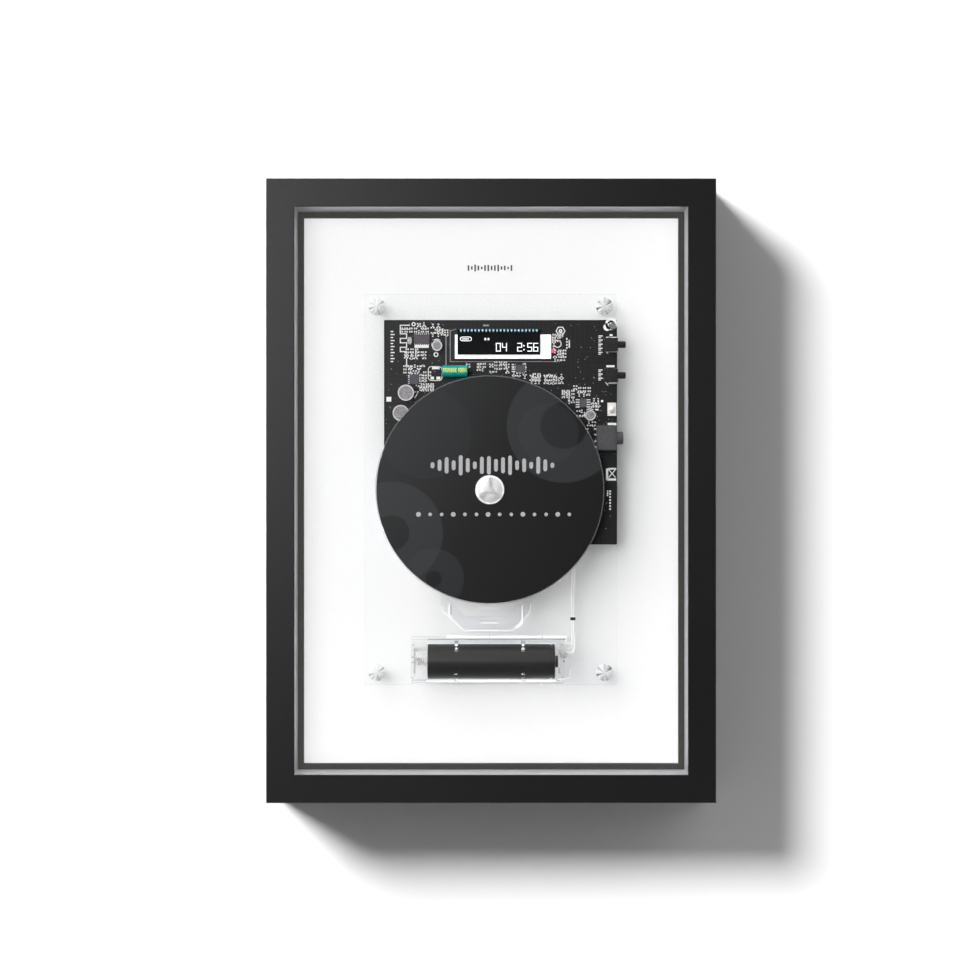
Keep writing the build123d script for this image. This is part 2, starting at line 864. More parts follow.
# Chips: shares across and up the board, then width and height as shares of the board's width
chip_shares = (
    (0.162, 0.856, 0.068, 0.039),
    (0.854, 0.374, 0.029, 0.037),
    (0.585, 0.636, 0.040, 0.032),
    (0.130, 0.552, 0.042, 0.042),
)
with BuildPart() as control_chips:
    with BuildSketch(level(circuit_front)):
        for share_x, share_z, share_wide, share_high in chip_shares:
            with Locations(board_place(share_x, share_z)):
                Rectangle(share_wide * circuit_width, share_high * circuit_width)
    extrude(amount=chip_thickness)
    chamfer(control_chips.faces().group_by(Axis.Y)[0].edges(), chip_edge)
control_chips.part.label = "control_chips"
export_step(control_chips.part, "parts/control_chips.step")

# Groups of small parts: where each group stands, its columns and rows, and one part's size
small_part_length = 1.5
small_part_width = 0.8
small_part_pitch_x = 2.5
small_part_pitch_z = 1.7
small_part_place_shares = (
    (0.105, 0.924),
    (0.175, 0.924),
    (0.235, 0.915),
    (0.120, 0.755),
    (0.100, 0.628),
    (0.185, 0.594),
    (0.186, 0.493),
    (0.420, 0.658),
    (0.500, 0.658),
    (0.655, 0.569),
    (0.715, 0.560),
    (0.740, 0.865),
    (0.765, 0.746),
    (0.790, 0.442),
    (0.860, 0.476),
    (0.905, 0.357),
    (0.860, 0.154),
)
small_part_column_count = (4, 2, 2, 3, 2, 2, 3, 2, 3, 2, 3, 2, 2, 3, 3, 2, 2)
small_part_row_count = (2, 2, 2, 3, 3, 2, 3, 2, 3, 3, 2, 3, 3, 3, 2, 2, 3)
with BuildPart() as small_parts:
    with BuildSketch(level(circuit_front)):
        for place_share, columns, rows in zip(
            small_part_place_shares, small_part_column_count, small_part_row_count
        ):
            with Locations(board_place(*place_share)):
                with GridLocations(small_part_pitch_x, small_part_pitch_z, columns, rows):
                    Rectangle(small_part_length, small_part_width)
    extrude(amount=small_part_thickness)
small_parts.part.label = "small_parts"
export_step(small_parts.part, "parts/small_parts.step")

# Can capacitors on their square bases
can_radius = 4.2
small_can_radius = 2.7
can_place_shares = (
    (0.095, 0.450),
    (0.073, 0.298),
    (0.885, 0.281),
    (0.228, 0.805),
)
can_radii = (can_radius, can_radius, small_can_radius, small_can_radius)
with BuildPart() as can_capacitors:
    for place_share, radius in zip(can_place_shares, can_radii):
        with BuildSketch(level(circuit_front)):
            with Locations(board_place(*place_share)):
                Rectangle(2 * radius + can_base_margin, 2 * radius + can_base_margin)
        extrude(amount=can_base_height)
        with BuildSketch(level(circuit_front + can_base_height)):
            with Locations(board_place(*place_share)):
                Circle(radius)
        extrude(amount=radius / can_radius * can_height - can_base_height)
can_capacitors.part.label = "can_capacitors"
export_step(can_capacitors.part, "parts/can_capacitors.step")

# Axial capacitor lying above the disc's edge, on its two bent leads
axial_share = (0.304, 0.611)
axial_x, axial_z = board_place(*axial_share)
with BuildPart() as axial_capacitor:
    with BuildSketch(Plane.YZ.offset(axial_x - axial_length / 2)):
        with Locations((-circuit_front - axial_radius - seat_gap, axial_z)):
            Circle(axial_radius)
    extrude(amount=axial_length)
    fillet(axial_capacitor.edges(), axial_end_break)
    for side in (-1, 1):
        lead_x = axial_x + side * (axial_length / 2 + axial_lead_length - axial_lead_radius)
        with BuildSketch(Plane.YZ.offset(axial_x + side * axial_length / 2)):
            with Locations((-circuit_front - axial_radius, axial_z)):
                Circle(axial_lead_radius)
        extrude(amount=side * axial_lead_length)
        with BuildSketch(level(circuit_front)):
            with Locations((lead_x, axial_z)):
                Circle(axial_lead_radius)
        extrude(amount=axial_radius)
axial_capacitor.part.label = "axial_capacitor"
export_step(axial_capacitor.part, "parts/axial_capacitor.step")

# Crystal can, infrared receiver and indicator lamp
crystal_share = (0.110, 0.844)
with BuildPart() as crystal:
    with BuildSketch(level(circuit_front)):
        with Locations(board_place(*crystal_share)):
            SlotOverall(crystal_length, crystal_width, rotation=90)
    extrude(amount=crystal_height)
    chamfer(crystal.faces().sort_by(Axis.Y)[0].edges(), chip_edge)
crystal.part.label = "crystal"
export_step(crystal.part, "parts/crystal.step")

receiver_share = (0.977, 0.327)
receiver_place = board_place(*receiver_share)
with BuildPart() as infrared_receiver:
    with BuildSketch(level(circuit_front)):
        with Locations(receiver_place):
            Rectangle(receiver_width, receiver_length)
    extrude(amount=receiver_height)
    with Locations(*on_wall_side([receiver_place], circuit_front + receiver_height)):
        Sphere(receiver_lens_radius)
    with BuildSketch(level(circuit_front)):
        with Locations(receiver_place):
            Rectangle(2 * receiver_width, 2 * receiver_length)
    extrude(amount=-receiver_lens_radius, mode=Mode.SUBTRACT)
infrared_receiver.part.label = "infrared_receiver"
export_step(infrared_receiver.part, "parts/infrared_receiver.step")

lamp_share = (0.725, 0.767)
with BuildPart() as indicator_lamp:
    with BuildSketch(level(circuit_front)):
        with Locations(board_place(*lamp_share)):
            Rectangle(lamp_width, lamp_length)
    extrude(amount=lamp_height)
    chamfer(indicator_lamp.faces().sort_by(Axis.Y)[0].edges(), chip_edge)
indicator_lamp.part.label = "indicator_lamp"
export_step(indicator_lamp.part, "parts/indicator_lamp.step")

# Disc, with the hole that drops over the turntable's hub
spindle_place = (spindle_x, spindle_z)
with BuildPart() as disc:
    with BuildSketch(level(disc_back)):
        with Locations(spindle_place):
            Circle(disc_radius)
            Circle(disc_hole_radius, mode=Mode.SUBTRACT)
    extrude(amount=disc_thickness)
    round_edges = disc.edges().filter_by(GeomType.CIRCLE)
    chamfer(round_edges.filter_by(lambda edge: edge.radius > disc_hole_radius), disc_edge_break)
disc.part.label = "disc"
export_step(disc.part, "parts/disc.step")

# Turntable: flange, hub with a low dome, three ribs and a nub at the end of each rib
pad_back = disc_back - pad_thickness
flange_back = pad_back - turntable_thickness
boss_back = flange_back - turntable_boss_height
hub_radius = disc_hole_radius - hub_fit
hub_front = disc_back + hub_rise
dome_front = hub_front + hub_dome_rise
with BuildPart() as turntable_round:
    with BuildSketch(Plane.XY):
        with BuildLine():
            Polyline(
                (spindle_radius, boss_back),
                (turntable_boss_radius, boss_back),
                (turntable_boss_radius, flange_back),
                (turntable_radius, flange_back),
                (turntable_radius, pad_back),
                (hub_radius, pad_back),
                (hub_radius, hub_front),
            )
            ThreePointArc(
                (hub_radius, hub_front),
                ((hub_radius + hub_dome_radius) / 2, hub_front + hub_dome_rise * hub_dome_arc_share),
                (hub_dome_radius, dome_front),
            )
            Polyline(
                (hub_dome_radius, dome_front),
                (hub_stub_radius, dome_front),
                (hub_stub_radius, dome_front + hub_stub_rise),
                (0, dome_front + hub_stub_rise),
                (0, disc_back),
                (spindle_radius, disc_back),
                (spindle_radius, boss_back),
            )
        make_face()
    revolve(axis=Axis.Y)
rib_angles = (90, 210, 330)
with BuildPart() as turntable:
    with Locations(Location((spindle_x, 0, spindle_z), (180, 0, 0))):
        add(turntable_round.part)
    for angle in rib_angles:
        reach = (math.cos(math.radians(angle)), math.sin(math.radians(angle)))
        with BuildSketch(level(hub_front)):
            with Locations(
                (
                    spindle_x + reach[0] * (hub_radius - hub_nub_length) / 2,
                    spindle_z + reach[1] * (hub_radius - hub_nub_length) / 2,
                )
            ):
                Rectangle(hub_radius - hub_nub_length, hub_rib_width, rotation=angle)
        extrude(amount=hub_dome_rise + hub_rib_rise)
        with BuildSketch(level(hub_front - hub_nub_rise)):
            with Locations(
                (
                    spindle_x + reach[0] * (hub_radius - hub_nub_length),
                    spindle_z + reach[1] * (hub_radius - hub_nub_length),
                )
            ):
                Rectangle(hub_nub_length, hub_nub_width, rotation=angle)
        extrude(amount=2 * hub_nub_rise)
turntable.part.label = "turntable"
export_step(turntable.part, "parts/turntable.step")

with BuildPart() as turntable_pad:
    with BuildSketch(level(pad_back)):
        with Locations(spindle_place):
            Circle(pad_outer_radius)
            Circle(pad_inner_radius, mode=Mode.SUBTRACT)
    extrude(amount=pad_thickness)
turntable_pad.part.label = "turntable_pad"
export_step(turntable_pad.part, "parts/turntable_pad.step")

with BuildPart() as spindle:
    with BuildSketch(level(disc_back - spindle_length)):
        with Locations(spindle_place):
            Circle(spindle_radius)
    extrude(amount=spindle_length)
spindle.part.label = "spindle"
export_step(spindle.part, "parts/spindle.step")

# Mechanism cradle: clear octagonal moulding on the plate, rimmed round its opening's lower end


def octagon(width, top, bottom, corner):
    """Upright rectangle about the deck's middle with its four corners cut at 45 degrees."""
    half = width / 2
    Polygon(
        (deck_x - half, top - corner),
        (deck_x - half + corner, top),
        (deck_x + half - corner, top),
        (deck_x + half, top - corner),
        (deck_x + half, bottom + corner),
        (deck_x + half - corner, bottom),
        (deck_x - half + corner, bottom),
        (deck_x - half, bottom + corner),
        align=None,
    )


with BuildPart() as mechanism_cradle:
    with BuildSketch(level(plate_front)):
        octagon(cradle_width, cradle_top, cradle_bottom, cradle_corner)
        with Locations(*cradle_screw_places):
            Circle(cradle_ear_radius)
        with Locations(*damper_places):
            Circle(damper_radius + damper_ear_margin)
        with Locations((sled_motor_x, sled_motor_z)):
            Circle(sled_motor_radius + cradle_motor_wall)
            Circle(sled_motor_radius + screw_clearance, mode=Mode.SUBTRACT)
        octagon_opening = (
            cradle_opening_width,
            cradle_opening_top,
            cradle_opening_bottom,
            cradle_opening_corner,
        )
        with BuildSketch(level(plate_front), mode=Mode.SUBTRACT):
            octagon(*octagon_opening)
    extrude(amount=cradle_floor)
    with BuildSketch(level(cradle_front)):
        octagon(
            cradle_opening_width + 2 * cradle_rim,
            cradle_opening_top,
            cradle_opening_bottom - cradle_rim,
            cradle_opening_corner + cradle_rim / 2,
        )
        with BuildSketch(level(cradle_front), mode=Mode.SUBTRACT):
            octagon(*octagon_opening)
        with Locations((deck_x, (cradle_rim_top + cradle_opening_top) / 2)):
            Rectangle(
                cradle_width + overrun, cradle_opening_top - cradle_rim_top, mode=Mode.SUBTRACT
            )
    extrude(amount=cradle_rim_height)
    with BuildSketch(level(plate_front)):
        with Locations(*cradle_screw_places):
            Circle(plate_screw_radius + screw_clearance)
    extrude(amount=cradle_floor, mode=Mode.SUBTRACT)
    with BuildSketch(level(plate_front)):
        with Locations(*damper_places):
            Circle(damper_screw_radius)
    extrude(amount=cradle_floor, mode=Mode.SUBTRACT)
mechanism_cradle.part.label = "mechanism_cradle"
export_step(mechanism_cradle.part, "parts/mechanism_cradle.step")

# Small pan head screws that hold the circuit board and the cradle to the plate
with BuildPart() as plate_screws:
    with Locations(*driven_in(circuit_screw_places, circuit_front)):
        add(
            screw(
                circuit_thickness + circuit_gap + plate_screw_bite,
                plate_screw_radius,
                plate_screw_head_radius,
                plate_screw_head_height,
            )
        )
    with Locations(*driven_in(cradle_screw_places, cradle_front)):
        add(
            screw(
                cradle_floor + plate_screw_bite,
                plate_screw_radius,
                plate_screw_head_radius,
                plate_screw_head_height,
            )
        )
plate_screws.part.label = "plate_screws"
export_step(plate_screws.part, "parts/plate_screws.step")

# Rubber dampers: grooved rings that hold the chassis off the cradle
damper_front = chassis_front + damper_cap_height
with BuildPart() as rubber_dampers:
    for start, end, radius in (
        (cradle_front, chassis_back, damper_radius),
        (chassis_back, chassis_front, damper_neck_radius),
        (chassis_front, damper_front, damper_radius),
    ):
        with BuildSketch(level(start)):
            with Locations(*damper_places):
                Circle(radius)
                Circle(damper_screw_radius + screw_clearance, mode=Mode.SUBTRACT)
        extrude(amount=end - start)
rubber_dampers.part.label = "rubber_dampers"
export_step(rubber_dampers.part, "parts/rubber_dampers.step")

with BuildPart() as damper_screws:
    with Locations(*driven_in(damper_places, damper_front)):
        add(
            screw(
                damper_front - plate_front,
                damper_screw_radius,
                damper_head_radius,
                damper_head_height,
            )
        )
damper_screws.part.label = "damper_screws"
export_step(damper_screws.part, "parts/damper_screws.step")

# Steel chassis: a fork that is open at its lower end, with tabs behind it for the guide rods
rod_tab_places = []
for rod_x, _ in rod_places:
    rod_tab_places.append((rod_x, chassis_window_top + rod_tab_thickness / 2 - screw_clearance))
    rod_tab_places.append((rod_x, chassis_bottom + rod_tab_thickness / 2))
rod_tab_height = chassis_back - rod_height + rod_radius + rod_fit + rod_tab_wall
with BuildPart() as mechanism_chassis:
    with BuildSketch(level(chassis_back)):
        with Locations((deck_x, (chassis_top + chassis_bottom) / 2)):
            RectangleRounded(chassis_width, chassis_top - chassis_bottom, chassis_corner)
        with Locations((sled_motor_x, sled_motor_z), (gear_x, gear_z)):
            Circle(sled_motor_lug)
        with Locations(*damper_places):
            Circle(damper_radius + damper_ear_margin)
        with Locations((spindle_x, (chassis_window_top + chassis_bottom - overrun) / 2)):
            Rectangle(
                chassis_window_width,
                chassis_window_top - chassis_bottom + overrun,
                mode=Mode.SUBTRACT,
            )
        with Locations(*damper_places):
            Circle(damper_neck_radius, mode=Mode.SUBTRACT)
        with Locations(spindle_place):
            Circle(motor_boss_radius + screw_clearance, mode=Mode.SUBTRACT)
        with Locations((gear_x, gear_z)):
            Circle(gear_pin_radius, mode=Mode.SUBTRACT)
        with Locations((sled_motor_x, sled_motor_z)):
            Circle(2 * sled_motor_shaft_radius, mode=Mode.SUBTRACT)
    extrude(amount=chassis_thickness)
    with BuildSketch(level(chassis_back)):
        with Locations(*rod_tab_places):
            Rectangle(rod_tab_width, rod_tab_thickness)
    extrude(amount=-rod_tab_height)
    for rod_x, _ in rod_places:
        with BuildSketch(Plane.XY.offset(chassis_bottom)):
            with Locations((rod_x, -rod_height)):
                Circle(rod_radius + rod_fit)
        extrude(amount=rod_top - chassis_bottom, mode=Mode.SUBTRACT)
mechanism_chassis.part.label = "mechanism_chassis"
export_step(mechanism_chassis.part, "parts/mechanism_chassis.step")

with BuildPart() as guide_rods:
    with BuildSketch(Plane.XY.offset(chassis_bottom)):
        with Locations(*[(rod_x, -rod_height) for rod_x, _ in rod_places]):
            Circle(rod_radius)
    extrude(amount=rod_top - chassis_bottom)
guide_rods.part.label = "guide_rods"
export_step(guide_rods.part, "parts/guide_rods.step")

# Spindle motor, hung behind the chassis, with its boss through it
with BuildPart() as spindle_motor:
    with BuildSketch(level(chassis_back)):
        with Locations(spindle_place):
            Circle(motor_radius)
    extrude(amount=-motor_height)
    chamfer(spindle_motor.faces().sort_by(Axis.Y)[-1].edges(), motor_edge)
    with BuildSketch(level(chassis_back)):
        with Locations(spindle_place):
            Circle(motor_boss_radius)
    extrude(amount=motor_boss_height)
    with BuildSketch(level(chassis_back + motor_boss_height)):
        with Locations(spindle_place):
            Circle(spindle_radius + spindle_fit)
    extrude(amount=-motor_height - motor_boss_height, mode=Mode.SUBTRACT)
spindle_motor.part.label = "spindle_motor"
export_step(spindle_motor.part, "parts/spindle_motor.step")

# Pickup sled: body under the chassis, eyes on the rods, tower through the fork
sled_low = lens_z - sled_below_lens
sled_high = lens_z + sled_above_lens
with BuildPart() as pickup_sled:
    with BuildSketch(level(sled_back)):
        with Locations((deck_x, (sled_low + sled_high) / 2)):
            RectangleRounded(sled_width, sled_high - sled_low, sled_corner)
    extrude(amount=sled_front - sled_back)
    with BuildSketch(level(sled_front)):
        with Locations((spindle_x, (sled_low + lens_z + tower_above_lens) / 2)):
            RectangleRounded(tower_width, tower_above_lens + sled_below_lens, tower_corner)
    extrude(amount=tower_front - sled_front)
    with BuildSketch(Plane.XY.offset(sled_high - sled_eye_length)):
        for rod_x, _ in rod_places:
            with Locations((rod_x, -rod_height)):
                Circle(sled_eye_radius)
            with Locations(((rod_x + deck_x) / 2, -rod_height)):
                Rectangle(abs(rod_x - deck_x), sled_eye_radius)
    extrude(amount=sled_eye_length)
    with BuildSketch(Plane.XY.offset(sled_low)):
        with Locations(*[(rod_x, -rod_height) for rod_x, _ in rod_places]):
            Circle(rod_radius + rod_fit)
    extrude(amount=sled_high - sled_low, mode=Mode.SUBTRACT)
    with BuildSketch(level(tower_front)):
        with Locations((spindle_x, lens_z)):
            Circle(lens_well_radius)
    extrude(amount=-lens_well_depth, mode=Mode.SUBTRACT)
pickup_sled.part.label = "pickup_sled"
export_step(pickup_sled.part, "parts/pickup_sled.step")

lens_back = tower_front - lens_well_depth + lens_gap
with BuildPart() as pickup_lens:
    with BuildSketch(level(lens_back)):
        with Locations((spindle_x, lens_z)):
            Circle(lens_holder_radius)
    extrude(amount=lens_holder_height)
    with BuildSketch(level(lens_back + lens_holder_height)):
        with Locations((spindle_x, lens_z)):
            Circle(lens_dome_radius)
    extrude(amount=lens_dome_rise, taper=45)
pickup_lens.part.label = "pickup_lens"
export_step(pickup_lens.part, "parts/pickup_lens.step")

# Teeth: involute flanks, thinned for backlash, short enough not to undercut the small gear
addendum = gear_addendum_share * gear_module
dedendum = gear_dedendum_share * gear_module
tooth_width = math.pi * gear_module / 2 - gear_backlash


def involute(angle):
    """Involute of an angle in radians."""
    return math.tan(angle) - angle


def gear_outline(teeth, turn):
    """Corner points of a spur gear about its own middle, one tooth centred at turn degrees."""
    pitch_radius = gear_module * teeth / 2
    base_radius = pitch_radius * math.cos(math.radians(pressure_angle))
    pitch_half = tooth_width / 2 / pitch_radius + involute(math.radians(pressure_angle))
    flank = []
    for radius in (pitch_radius - dedendum, pitch_radius, pitch_radius + addendum):
        roll = math.acos(min(1, base_radius / radius))
        flank.append((radius, pitch_half - involute(roll)))
    points = []
    for tooth in range(teeth):
        middle = math.radians(turn) + 2 * math.pi * tooth / teeth
        for radius, half in flank:
            points.append((radius * math.cos(middle - half), radius * math.sin(middle - half)))
        for radius, half in reversed(flank):
            points.append((radius * math.cos(middle + half), radius * math.sin(middle + half)))
    return points


small_gear_back = rack_back
small_gear_front = rack_back + rack_thickness + gear_gap
large_gear_front = small_gear_front + large_gear_thickness
gear_pin_front = large_gear_front + gear_gap
with BuildPart() as double_gear:
    with BuildSketch(level(small_gear_back)):
        with Locations((gear_x, gear_z)):
            Polygon(*gear_outline(small_teeth, 180), align=None)
            Circle(gear_pin_radius + spindle_fit, mode=Mode.SUBTRACT)
    extrude(amount=small_gear_front - small_gear_back)
    with BuildSketch(level(small_gear_front)):
        with Locations((gear_x, gear_z)):
            Polygon(*gear_outline(large_teeth, motor_turn), align=None)
            Circle(gear_pin_radius + spindle_fit, mode=Mode.SUBTRACT)
    extrude(amount=large_gear_thickness)
double_gear.part.label = "double_gear"
export_step(double_gear.part, "parts/double_gear.step")

with BuildPart() as gear_pin:
    with BuildSketch(level(chassis_back)):
        with Locations((gear_x, gear_z)):
            Circle(gear_pin_radius)
    extrude(amount=gear_pin_front - chassis_back)
    with BuildSketch(level(gear_pin_front)):
        with Locations((gear_x, gear_z)):
            Circle(gear_pin_head_radius)
    extrude(amount=gear_pin_head_height)
gear_pin.part.label = "gear_pin"
export_step(gear_pin.part, "parts/gear_pin.step")

# Rack on the sled's tower, with a gap of its teeth opposite the small gear's tooth at rest
rack_pitch = math.pi * gear_module
rack_teeth = math.ceil((sled_travel + 2 * rack_end_margin) / rack_pitch)
rack_low = gear_z - (2 * round(rack_end_margin / rack_pitch) + 1) * rack_pitch / 2
flank_run = math.tan(math.radians(pressure_angle))
rack_points = []
for tooth in range(rack_teeth + 1):
    middle = rack_low + tooth * rack_pitch
    root_half = tooth_width / 2 + dedendum * flank_run
    tip_half = tooth_width / 2 - addendum * flank_run
    rack_points.append((rack_line_x - dedendum, middle - root_half))
    rack_points.append((rack_line_x + addendum, middle - tip_half))
    rack_points.append((rack_line_x + addendum, middle + tip_half))
    rack_points.append((rack_line_x - dedendum, middle + root_half))
rack_root_x = rack_line_x - dedendum
tower_right = spindle_x + tower_width / 2
with BuildPart() as sled_rack:
    with BuildSketch(level(rack_back)):
        Polygon(
            (rack_root_x - rack_spine, rack_points[0][1]),
            *rack_points,
            (rack_root_x - rack_spine, rack_points[-1][1]),
            align=None,
        )
        with Locations((tower_right, lens_z)):
            Rectangle(
                rack_root_x - rack_spine / 2 - tower_right,
                rack_arm_width,
                align=(Align.MIN, Align.CENTER),
            )
    extrude(amount=rack_thickness)
sled_rack.part.label = "sled_rack"
export_step(sled_rack.part, "parts/sled_rack.step")

# Sled motor behind the chassis, its shaft and its pinion
with BuildPart() as sled_motor:
    with BuildSketch(level(chassis_back)):
        with Locations((sled_motor_x, sled_motor_z)):
            Circle(sled_motor_radius)
            Circle(sled_motor_shaft_radius + spindle_fit, mode=Mode.SUBTRACT)
    extrude(amount=-sled_motor_height)
sled_motor.part.label = "sled_motor"
export_step(sled_motor.part, "parts/sled_motor.step")

with BuildPart() as sled_motor_shaft:
    with BuildSketch(level(chassis_back - sled_motor_height)):
        with Locations((sled_motor_x, sled_motor_z)):
            Circle(sled_motor_shaft_radius)
    extrude(amount=gear_pin_front - chassis_back + sled_motor_height)
sled_motor_shaft.part.label = "sled_motor_shaft"
export_step(sled_motor_shaft.part, "parts/sled_motor_shaft.step")

pinion_turn = motor_turn + 180 + 180 / small_teeth
with BuildPart() as sled_pinion:
    with BuildSketch(level(small_gear_front)):
        with Locations((sled_motor_x, sled_motor_z)):
            Polygon(*gear_outline(small_teeth, pinion_turn), align=None)
            Circle(sled_motor_shaft_radius, mode=Mode.SUBTRACT)
    extrude(amount=large_gear_thickness)
sled_pinion.part.label = "sled_pinion"
export_step(sled_pinion.part, "parts/sled_pinion.step")

# Cell: rolled edges at both ends, and a dark end button towards the leaf contact
cell_height = plate_front + holder_floor + cell_seat_gap + cell_radius
cell_left = cell_middle_x - cell_length / 2
cell_right = cell_middle_x + cell_length / 2
cell_axis_place = (-cell_height, cell_z)
with BuildPart() as cell:
    with BuildSketch(Plane.YZ.offset(cell_left)):
        with Locations(cell_axis_place):
            Circle(cell_radius)
    extrude(amount=cell_length)
    fillet(cell.edges(), cell_edge_radius)
    with BuildSketch(Plane.YZ.offset(cell_right - cell_crimp_inset)):
        with Locations(cell_axis_place):
            Circle(cell_radius + overrun)
            Circle(cell_radius - cell_crimp_depth, mode=Mode.SUBTRACT)
    extrude(amount=cell_crimp_width, mode=Mode.SUBTRACT)
    with BuildSketch(Plane.YZ.offset(cell_right)):
        with Locations(cell_axis_place):
            Circle(cell_cap_radius)
    extrude(amount=cell_cap_length)
cell.part.label = "cell"
export_step(cell.part, "parts/cell.step")

# Clear holder: floor, low walls, two end walls, saddles and retaining fingers
holder_front = plate_front + holder_floor
holder_length = holder_right - holder_left
finger_inner = cell_radius + holder_finger_gap
finger_outer = finger_inner + holder_finger_thickness
finger_places = [holder_finger_middle_x + side * holder_finger_spread for side in (-1, 1)]
strip_z = cell_z + strip_offset
tab_z = cell_z + strip_offset / 2
with BuildPart() as cell_holder:
    with BuildSketch(level(plate_front)):
        with Locations((holder_left, holder_middle_z)):
            Rectangle(holder_length, holder_width, align=(Align.MIN, Align.CENTER))
    extrude(amount=holder_floor)
    with BuildSketch(level(holder_front)):
        for side in (-1, 1):
            with Locations((holder_left, holder_middle_z + side * (holder_width - holder_wall) / 2)):
                Rectangle(
                    holder_right_wall_x - holder_left, holder_wall, align=(Align.MIN, Align.CENTER)
                )
    extrude(amount=holder_wall_height)
    with BuildSketch(level(holder_front)):
        with Locations((holder_left + holder_wall / 2, cell_z)):
            Rectangle(holder_wall, holder_end_width)
        with Locations((holder_right_wall_x - holder_wall / 2, cell_z)):
            Rectangle(holder_wall, holder_end_width)
    extrude(amount=holder_end_height)
    for finger_x in finger_places:
        with BuildSketch(Plane.YZ.offset(finger_x - holder_finger_width / 2)):
            with Locations(cell_axis_place):
                Circle(finger_outer)
                with Locations((cell_height - holder_front, 0)):
                    Rectangle(
                        cell_height - holder_front, 2 * finger_outer, align=(Align.MAX, Align.CENTER)
                    )
                Circle(finger_inner, mode=Mode.SUBTRACT)
                with Locations((cell_height - holder_front, 0)):
                    Rectangle(
                        cell_height - holder_front, 2 * finger_inner, align=(Align.MAX, Align.CENTER),
                        mode=Mode.SUBTRACT,
                    )
                finger_drop = finger_inner * math.sin(math.radians(holder_finger_angle))
                with Locations((-finger_drop, 0)):
                    Rectangle(
                        finger_outer, 2 * finger_outer, align=(Align.MAX, Align.CENTER),
                        mode=Mode.SUBTRACT,
                    )
        extrude(amount=holder_finger_width)
        with BuildSketch(Plane.YZ.offset(finger_x - holder_saddle_width / 2)):
            with Locations((-holder_front, cell_z)):
                Rectangle(holder_saddle_height, 2 * finger_inner, align=(Align.MAX, Align.CENTER))
            with Locations(cell_axis_place):
                Circle(cell_radius + cell_seat_gap, mode=Mode.SUBTRACT)
        extrude(amount=holder_saddle_width)
    with BuildSketch(level(holder_front)):
        with Locations((holder_left + holder_wall, strip_z)):
            Rectangle(
                holder_length, contact_tab_width + 2 * seat_gap, align=(Align.MIN, Align.CENTER)
            )
        with Locations((holder_right_wall_x - 2 * holder_wall, tab_z)):
            Rectangle(
                holder_length, contact_tab_width + 2 * seat_gap, align=(Align.MIN, Align.CENTER)
            )
    extrude(amount=contact_thickness + seat_gap, mode=Mode.SUBTRACT)
    with BuildSketch(level(plate_front)):
        with Locations(*holder_screw_places):
            Circle(holder_screw_radius + screw_clearance)
    extrude(amount=holder_floor, mode=Mode.SUBTRACT)
    with Locations(*on_wall_side(holder_screw_places, holder_front)):
        Cone(
            holder_screw_radius,
            holder_head_radius + seat_gap,
            holder_head_radius - holder_screw_radius,
            align=(Align.CENTER, Align.CENTER, Align.MAX),
            mode=Mode.SUBTRACT,
        )
cell_holder.part.label = "cell_holder"
export_step(cell_holder.part, "parts/cell_holder.step")

with BuildPart() as holder_screws:
    with Locations(*driven_in(holder_screw_places, holder_front)):
        add(
            countersunk_screw(
                holder_floor + plate_thickness - seat_gap, holder_screw_radius, holder_head_radius
            )
        )
holder_screws.part.label = "holder_screws"
export_step(holder_screws.part, "parts/holder_screws.step")

# Contacts: a plate with its return strip under the cell, and a bowed leaf at the other end
contact_left = holder_left + holder_wall
wall_face_x = holder_right_wall_x - holder_wall
leaf_touch_x = cell_right + cell_cap_length
with BuildPart() as spring_contact:
    with BuildSketch(level(holder_front)):
        with Locations((contact_left, cell_z)):
            Rectangle(contact_thickness, contact_width, align=(Align.MIN, Align.CENTER))
    extrude(amount=contact_height)
    with BuildSketch(level(holder_front)):
        with Locations((contact_left, strip_z)):
            Rectangle(
                holder_right_wall_x + contact_tab_length - contact_left,
                contact_tab_width,
                align=(Align.MIN, Align.CENTER),
            )
    extrude(amount=contact_thickness)
spring_contact.part.label = "spring_contact"
export_step(spring_contact.part, "parts/spring_contact.step")

with BuildPart() as leaf_contact:
    with BuildSketch(level(holder_front)):
        with BuildLine():
            ThreePointArc(
                (wall_face_x - contact_thickness, cell_z - contact_width / 2),
                (leaf_touch_x, cell_z),
                (wall_face_x - contact_thickness, cell_z + contact_width / 2),
            )
            Line(
                (wall_face_x - contact_thickness, cell_z + contact_width / 2),
                (wall_face_x, cell_z + contact_width / 2),
            )
            ThreePointArc(
                (wall_face_x, cell_z + contact_width / 2),
                (leaf_touch_x + contact_thickness, cell_z),
                (wall_face_x, cell_z - contact_width / 2),
            )
            Line(
                (wall_face_x, cell_z - contact_width / 2),
                (wall_face_x - contact_thickness, cell_z - contact_width / 2),
            )
        make_face()
    extrude(amount=contact_height)
    with BuildSketch(level(holder_front)):
        with Locations((leaf_touch_x + contact_thickness / 2, tab_z)):
            Rectangle(
                holder_right_wall_x + contact_tab_length - leaf_touch_x - contact_thickness / 2,
                contact_tab_width,
                align=(Align.MIN, Align.CENTER),
            )
    extrude(amount=contact_thickness)
    with BuildSketch(level(holder_front)):
        with Locations((leaf_touch_x + contact_thickness, strip_z)):
            Rectangle(
                2 * contact_height, contact_tab_width + 4 * seat_gap, align=(Align.CENTER, Align.CENTER)
            )
    extrude(amount=contact_thickness + 2 * seat_gap, mode=Mode.SUBTRACT)
leaf_contact.part.label = "leaf_contact"
export_step(leaf_contact.part, "parts/leaf_contact.step")

# Contact spring: one unbroken wire, straight at both ends, wound round the cell's axis
spring_left = contact_left + contact_thickness
spring_right = cell_left
coil_start = spring_left + spring_end + spring_bend
coil_pitch = (spring_right - spring_left - 2 * (spring_end + spring_bend)) / spring_turns
lead_in_angle = math.pi / 8


